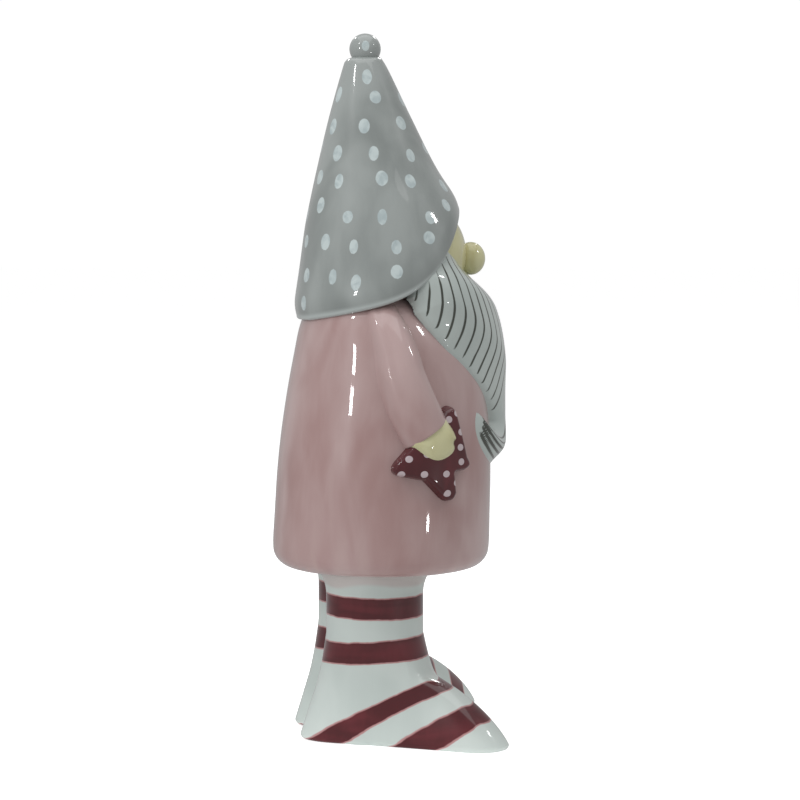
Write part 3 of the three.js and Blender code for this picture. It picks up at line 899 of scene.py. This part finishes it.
STAR_DOTS = [  # forward round the flank, height
    (3.6, 122.6), (1.0, 116.3), (9.5, 116.2), (18.3, 116), (19.2, 107.9), (23.2, 112),
    (25, 120.6), (25.3, 132.9), (23.9, 140.7), (19.9, 138.3), (24.6, 126.6), (10.4, 124.4),
]
DOT_RADIUS = 1.45
dots = np.full(len(star_spots), FAR)
for a, z in STAR_DOTS:
    gap = ((star_spots[:, 0] - a) ** 2 + (star_spots[:, 1] - z) ** 2) / DOT_RADIUS ** 2
    dots = np.minimum(dots, gap)
mark(star, "dab", dots)

# %% The hands
MITTEN = [  # across the arm, and along it: minus is beyond the cuff
    ((-10, 5), (-10.2, 2), (-10.4, -1), (-8.8, -4.4)),
    ((-8.8, -4.4), (-7.2, -7.6), (-6.6, -15.6), (0.8, -15.8)),
    ((0.8, -15.8), (5.2, -15.9), (9.2, -13.6), (8.8, -9.6)),
    ((8.8, -9.6), (9.1, -9.8), (9.9, -10.2), (10.5, -8.9)),
    ((10.5, -8.9), (11.2, -6.4), (10.4, -2), (9.8, 5)), ((9.8, 5), (-10, 5)),
]
a0, z0, _, _ = arm_at(1.0)
a1, z1, _, _ = arm_at(0.9)
reach_way = Vector((a0 - a1, z0 - z1)).normalized()
hand_across = Vector((-reach_way.y, reach_way.x))


def mitten_outline():
    wrist = Vector((a0, z0))
    return drawn(*[[tuple(wrist + hand_across * x - reach_way * y) for x, y in stroke]
                   for stroke in MITTEN])


for name, side in SIDES.items():
    def hand_point(a, z, depth, side=side):
        spot = Vector((a - a0, z - z0))
        down = spot.dot(reach_way)
        high = 7.4 + 0.9 * float(ease(-2, 5, down)) - 0.012 * max(0.0, down) ** 2
        return over_side(side, a, z, sunk(depth) + high * rounded(depth, 5.4))

    relief(f"{name}_mitten", f"{name}_hand", SKIN, mitten_outline(), 0.4, hand_point)

# %% [markdown]
# ## Where the leg becomes the foot
# Leg and slipper are one soft surface, though they are two pieces. So one curve serves both:
# for each direction round the ankle it starts on the leg, bends outwards and falls to the
# sole's edge. It is nearly straight towards the short heel and round towards the long toe.

# %% The leg's measures, the sole's outline and the curve between them
SOCK_MIDDLE, SOCK_BACK, SOCK_FRONT, SOCK_HALF = 18.6, -33.8, 7.6, 16.4
ANKLE_Z = 36.5
SOCK_TOP = FLOOR_Z + 0.4
sock_depth = (SOCK_FRONT - SOCK_BACK) / 2
sock_forward = (SOCK_FRONT + SOCK_BACK) / 2
BEND_Z = 46.0  # where the leg begins to bend into the foot
FLARE, FLARE_FROM = 3.4, 61  # how much the leg widens at its top, and from which height
TOE_DROP, BEND_REACH = 7.5, 7.0  # how much lower the toe starts, and how far out the bend goes
SOLE_EDGE = [  # side and forward, round the outline of the sole
    (14, -45.2), (24.5, -39), (35, -17), (46, 7), (55.5, 29), (47.5, 40.8), (30, 31), (9, 8),
    (2.6, -14), (4, -37),
]


def closed_curve(points):
    """A smooth closed curve through points, in small even steps."""
    ring = [points[-1], *points, points[0], points[1]]
    fine = []
    for k in range(1, len(points) + 1):
        four = ring[k - 1:k + 3]
        for f in np.linspace(0, 1, 40, endpoint=False):
            fine.append(run_through(four, (1 + f) / 3))
    return evenly(np.array(fine), 0.05)


sole_line = closed_curve(SOLE_EDGE)


def from_ankle(s):
    """The way from the ankle's middle to the sole's edge, at a share s round it."""
    side, forward = sole_line[round(s * len(sole_line)) % len(sole_line)]
    return Vector((side - SOCK_MIDDLE, forward - sock_forward))


edge_turn = np.arctan2(sole_line[:, 0] - SOCK_MIDDLE, sole_line[:, 1] - sock_forward)
by_turn = np.argsort(edge_turn)
edge_reach = np.hypot(sole_line[:, 0] - SOCK_MIDDLE, sole_line[:, 1] - sock_forward)[by_turn]
edge_turn = edge_turn[by_turn]
TOE_SPREAD = np.linspace(-0.45, 0.45, 7)  # turns over which the toe's roundness is spread


def side_of_foot(way):
    """The leg's bend and the foot's side in one direction, falling: reaches and heights."""
    ankle = 1 / math.hypot(way.x / SOCK_HALF, way.y / sock_depth)
    far = float(np.interp(math.atan2(way.x, way.y), edge_turn, edge_reach, period=math.tau))
    reach = max(0.0, far - ankle)
    around = math.atan2(way.x, way.y) + TOE_SPREAD
    toe = float(ease(6, 36, np.interp(around, edge_turn, edge_reach, period=math.tau).mean() - ankle))
    share = np.sin(np.linspace(0, 1, 90) ** 1.5 * math.pi / 2)
    top = ANKLE_Z - TOE_DROP * toe
    z = top * (1 - share ** (1 + 0.6 * toe)) ** (1 - 0.3 * toe)
    bend = min(0.45, BEND_REACH / max(reach, 1.0))
    return ankle + reach * share, z + (BEND_Z - top) * np.maximum(0, 1 - share / bend) ** 2.2


print("sole outline", round(len(sole_line) * 0.05), "mm round")

# %% [markdown]
# ## The legs
# Each leg is an oval tube that flares where it meets the tunic's floor. The rose wash of the
# tunic runs a little way down it. `create_circle` makes a ring, and `extrude_edge_only` pulls
# it up the leg; each new ring is then moved to its own width. `holes_fill` closes both ends.

# %% Two striped socks
def leg_flare(z):
    """How much wider the leg is at a height, just under the tunic's floor."""
    return FLARE * max(0.0, (z - FLARE_FROM) / (SOCK_TOP - FLARE_FROM)) ** 2.6


def sock_ring(verts, turns, side, z):
    """Moves a ring of vertices to the leg at a height; the lowest rings bend into the foot."""
    for vert, turn in zip(verts, turns):
        way = Vector((SOCK_HALF * math.sin(turn) * side, sock_depth * math.cos(turn)))
        reach = way.length
        way.normalize()
        if z < BEND_Z:
            reaches, heights = side_of_foot(way)
            reach = float(np.interp(-z, -heights, reaches))
        grow = leg_flare(z)
        vert.co = place(side * (SOCK_MIDDLE + way.x * (reach + 0.7 * grow)),
                        sock_forward + way.y * (reach + grow), z)


def ankle_band(spots):
    """How far each spot is outside the ankle's stripe, which the leg and the foot share."""
    return np.abs(spots[:, 2] - 1.2 * (spots[:, 1] - sock_forward) / sock_depth - 39.6) - 4.4


def turns_round(verts, middle):
    """Each vertex's direction round a middle, by its ring's own oval."""
    return [math.atan2((v.co.x - middle.x) / SOCK_HALF, (middle.y - v.co.y) / sock_depth)
            for v in verts]


for name, side in SIDES.items():
    bm = bmesh.new()
    ring = bmesh.ops.create_circle(bm, cap_ends=False, segments=128, radius=1)["verts"]
    turns = [math.atan2(v.co.x, -v.co.y) for v in ring]
    rim = bm.edges[:]
    sock_ring(ring, turns, side, ANKLE_Z - 0.2)
    bmesh.ops.holes_fill(bm, edges=rim, sides=0)
    middle = place(side * SOCK_MIDDLE, sock_forward, 0)
    for z in np.concatenate([np.arange(ANKLE_Z, BEND_Z, 0.6), np.linspace(BEND_Z, SOCK_TOP, 55)]):
        pulled = bmesh.ops.extrude_edge_only(bm, edges=rim)["geom"]
        ring = [v for v in pulled if isinstance(v, bmesh.types.BMVert)]
        fresh = set(ring)
        rim = [e for e in pulled if isinstance(e, bmesh.types.BMEdge)
               and e.verts[0] in fresh and e.verts[1] in fresh]
        sock_ring(ring, turns_round(ring, middle), side, float(z))
    bmesh.ops.holes_fill(bm, edges=rim, sides=0)
    bmesh.ops.recalc_face_normals(bm, faces=bm.faces)
    sock = finish_piece(f"{name}_striped_sock", bm, STRIPED, f"{name}_sock")
    spots = spots_of(sock)
    ahead = (spots[:, 1] - sock_forward) / sock_depth
    upper = np.abs(spots[:, 2] + 0.35 * ahead - 0.6 * ahead ** 2 - 57.8) - 4.3
    mark(sock, "from_band", np.minimum(upper, ankle_band(spots)))
    wave = 0.7 * np.sin(spots[:, 1] * 0.21 + side) + 0.4 * np.sin(spots[:, 0] * 0.5)
    mark(sock, "under_hem", (FLOOR_Z - 5.2 + wave) - spots[:, 2])

# %% [markdown]
# ## The feet
# The slippers spread from the ankle to a long sole whose toe turns out. The grid's columns go
# round the sole, and its rows follow the curve above, from where the sock ends. The last rows
# roll under the foot.

# %% The feet, their stripes and their soles
ROLL, ROLL_SIZE = 0.9, 2.0  # the share of the grid where the edge's roll begins, and its radius


def foot_rule(side):
    """The rule for one slipper; each column's curve is worked out once and kept in sides."""
    sides = {}

    def rule(s, t):
        if s not in sides:
            way = from_ankle(s).normalized()
            far, z = side_of_foot(way)
            run = np.concatenate([[0], np.cumsum(np.hypot(np.diff(far), np.diff(z)))])
            first, last = np.interp((-ANKLE_Z, -ROLL_SIZE), -z, run)
            sides[s] = way, far, z, run, first, last
        way, fars, heights, run, first, last = sides[s]
        at = first + min(1.0, t / ROLL) * (last - first)
        far, z = (float(np.interp(at, run, n)) for n in (fars, heights))
        f = max(0.0, t - ROLL) / (1 - ROLL) * 2
        quarter = min(f, 1.0) * math.pi / 2
        far -= ROLL_SIZE * (1 - math.cos(quarter)) + 2.4 * max(0.0, f - 1)
        z -= ROLL_SIZE * math.sin(quarter)
        return place(side * (SOCK_MIDDLE + way.x * far), sock_forward + way.y * far, z)
    return rule


def foot_bands(spots, side):
    """How far each spot is outside the two slanting stripes and the ankle's ring."""
    out, forward, z = side * spots[:, 0], spots[:, 1], spots[:, 2]
    steps = np.arange(SOCK_FRONT, 40, 1.0)
    top = np.interp(forward, steps, [z[np.abs(forward - at) < 1].max() for at in steps])
    bow = 4.0 * np.clip(1 - ((z - 15) / 13) ** 2, 0, 1)
    outer = forward - 1.85 * z + bow
    inner = forward - 1.85 * top - 0.4 * (top - z)
    lateral = (out - SOCK_MIDDLE) * 0.851 - (forward - sock_forward) * 0.524
    c = inner + (outer - inner) * ease(-7, 7, lateral)
    long_band = np.maximum(-43.5 - c, c + 29) / 2.1
    toe_band = np.maximum(-9 - c, c - 9) / 2.1
    return np.minimum(np.minimum(long_band, toe_band), ankle_band(spots))


for name, side in SIDES.items():
    bm = grid_mesh(220, 90, foot_rule(side))
    weld(bm)
    foot = finish_piece(f"{name}_slipper", bm, STRIPED, f"{name}_foot")
    mark(foot, "from_band", foot_bands(spots_of(foot), side))
    mark(foot, "under_hem", np.full(len(foot.data.vertices), FAR))

    def sole_edge(turn, inset, z, side=side):
        way = from_ankle((turn / math.tau) % 1.0)
        far = way.length - inset
        way.normalize()
        return place(side * (SOCK_MIDDLE + way.x * far), sock_forward + way.y * far, z)

    plate(f"{name}_sole_plate", f"{name}_sole", 160, 4.3, sole_edge, 0.0, 3.6,
          (side * SOCK_MIDDLE, 6, 5, 5), CLAY)

# %% [markdown]
# ## Floor, light and camera
# The gnome stands on a plain pale floor in a white light tent: even light from all round, and
# a few small lamps that leave crisp glints in the glaze. The camera looks at the gnome's right
# side, from a little behind and a little down from the height of its face.

# %% The floor, and the spot of it that throws light up at the gnome
floor_paint = bpy.data.materials.new("floor_paint")
floor_paint.use_nodes = True
dial(floor_paint.node_tree.nodes["Principled BSDF"], {
    "Base Color": (0.9, 0.9, 0.9, 1), "Roughness": 0.9,
    "Emission Color": (1, 1, 1, 1), "Emission Strength": 0.62,
})


def stage_disc(name, radius, z, bounces):
    """A round piece of floor; its white never shows as a reflection in the glaze."""
    bm = bmesh.new()
    bmesh.ops.create_circle(bm, cap_ends=True, segments=96, radius=radius)
    bmesh.ops.translate(bm, verts=bm.verts, vec=(0, 0, z))
    data = bpy.data.meshes.new(name)
    bm.to_mesh(data)
    bm.free()
    data.materials.append(floor_paint)
    disc = bpy.data.objects.new(name, data)
    bpy.context.collection.objects.link(disc)
    disc.visible_glossy, disc.visible_diffuse = False, bounces


stage_disc("studio_floor", 14.0, -0.3 * MM, False)
stage_disc("bright_spot", 0.095, 0.0, True)

# %% The light tent
scene = bpy.context.scene
world = bpy.data.worlds.new("light_tent")
scene.world = world
world.use_nodes = True
tent = world.node_tree
glow = tent.nodes["Background"]
dial(glow, {"Color": (1, 1, 1, 1), "Strength": 0.42})
white = tent.nodes.new("ShaderNodeBackground")
dial(white, {"Color": (1, 1, 1, 1), "Strength": 1.02})
seen = tent.nodes.new("ShaderNodeLightPath")
choose = tent.nodes.new("ShaderNodeMixShader")
tent.links.new(seen.outputs["Is Camera Ray"], choose.inputs["Fac"])
tent.links.new(glow.outputs["Background"], choose.inputs[1])
tent.links.new(white.outputs["Background"], choose.inputs[2])
tent.links.new(choose.outputs["Shader"], tent.nodes["World Output"].inputs["Surface"])


def lamp(name, azimuth, elevation, distance, wide, tall, power, aim=(0, 0, 0.15)):
    """A small softbox: azimuth 0 stands before the gnome, 270 at its right side."""
    light = bpy.data.lights.new(name, "AREA")
    light.shape = "RECTANGLE"
    light.size, light.size_y, light.energy = wide, tall, power
    box = bpy.data.objects.new(name, light)
    az, el = math.radians(azimuth), math.radians(elevation)
    way = Vector((math.sin(az) * math.cos(el), -math.cos(az) * math.cos(el), math.sin(el)))
    box.location = Vector(aim) + way * distance
    box.rotation_euler = (-way).to_track_quat("-Z", "Y").to_euler()
    box.visible_camera = False
    bpy.context.collection.objects.link(box)
    return box


lamp("back_window_low", 222, 9.3, 1.1, 0.07, 0.05, 0.4)
lamp("back_window_high", 222, 13.8, 1.1, 0.07, 0.07, 0.55)
lamp("high_lamp_back", 210, 42, 1.1, 0.08, 0.1, 0.7)
lamp("high_lamp_front", 338, 38, 1.1, 0.08, 0.1, 0.7)
lamp("glint_from_below", 311, -6.5, 0.62, 0.03, 0.018, 0.08, (0, 0, 0.1))
lamp("far_lamp_left", 60, 38, 1.1, 0.09, 0.09, 0.7)
lamp("far_lamp_right", 112, 38, 1.1, 0.09, 0.09, 0.7)
lamp("tent_roof", 263, 86, 1.3, 1.6, 1.6, 8.0)
tent_side = lamp("tent_side", 210, 22, 1.5, 0.6, 1.5, 4.8)
tent_side.visible_glossy = False

# %% The camera
CAMERA_AWAY, CAMERA_Z, CAMERA_AZIMUTH = 1.0, 0.215, 263
TARGET = Vector((0, -PLUMB_SHIFT * MM, 0.1433))
camera_data = bpy.data.cameras.new("camera")
camera_data.lens = 104.5
camera = bpy.data.objects.new("camera", camera_data)
angle = math.radians(CAMERA_AZIMUTH)
camera.location = TARGET + Vector((math.sin(angle), -math.cos(angle), 0)) * CAMERA_AWAY
camera.location.z = CAMERA_Z
camera.rotation_euler = (TARGET - camera.location).to_track_quat("-Z", "Y").to_euler()
bpy.context.collection.objects.link(camera)
scene.camera = camera
scene.view_settings.view_transform = "Standard"
print("camera at", [round(v, 3) for v in camera.location])

# %% Update the scene and finish
bpy.context.view_layer.update()
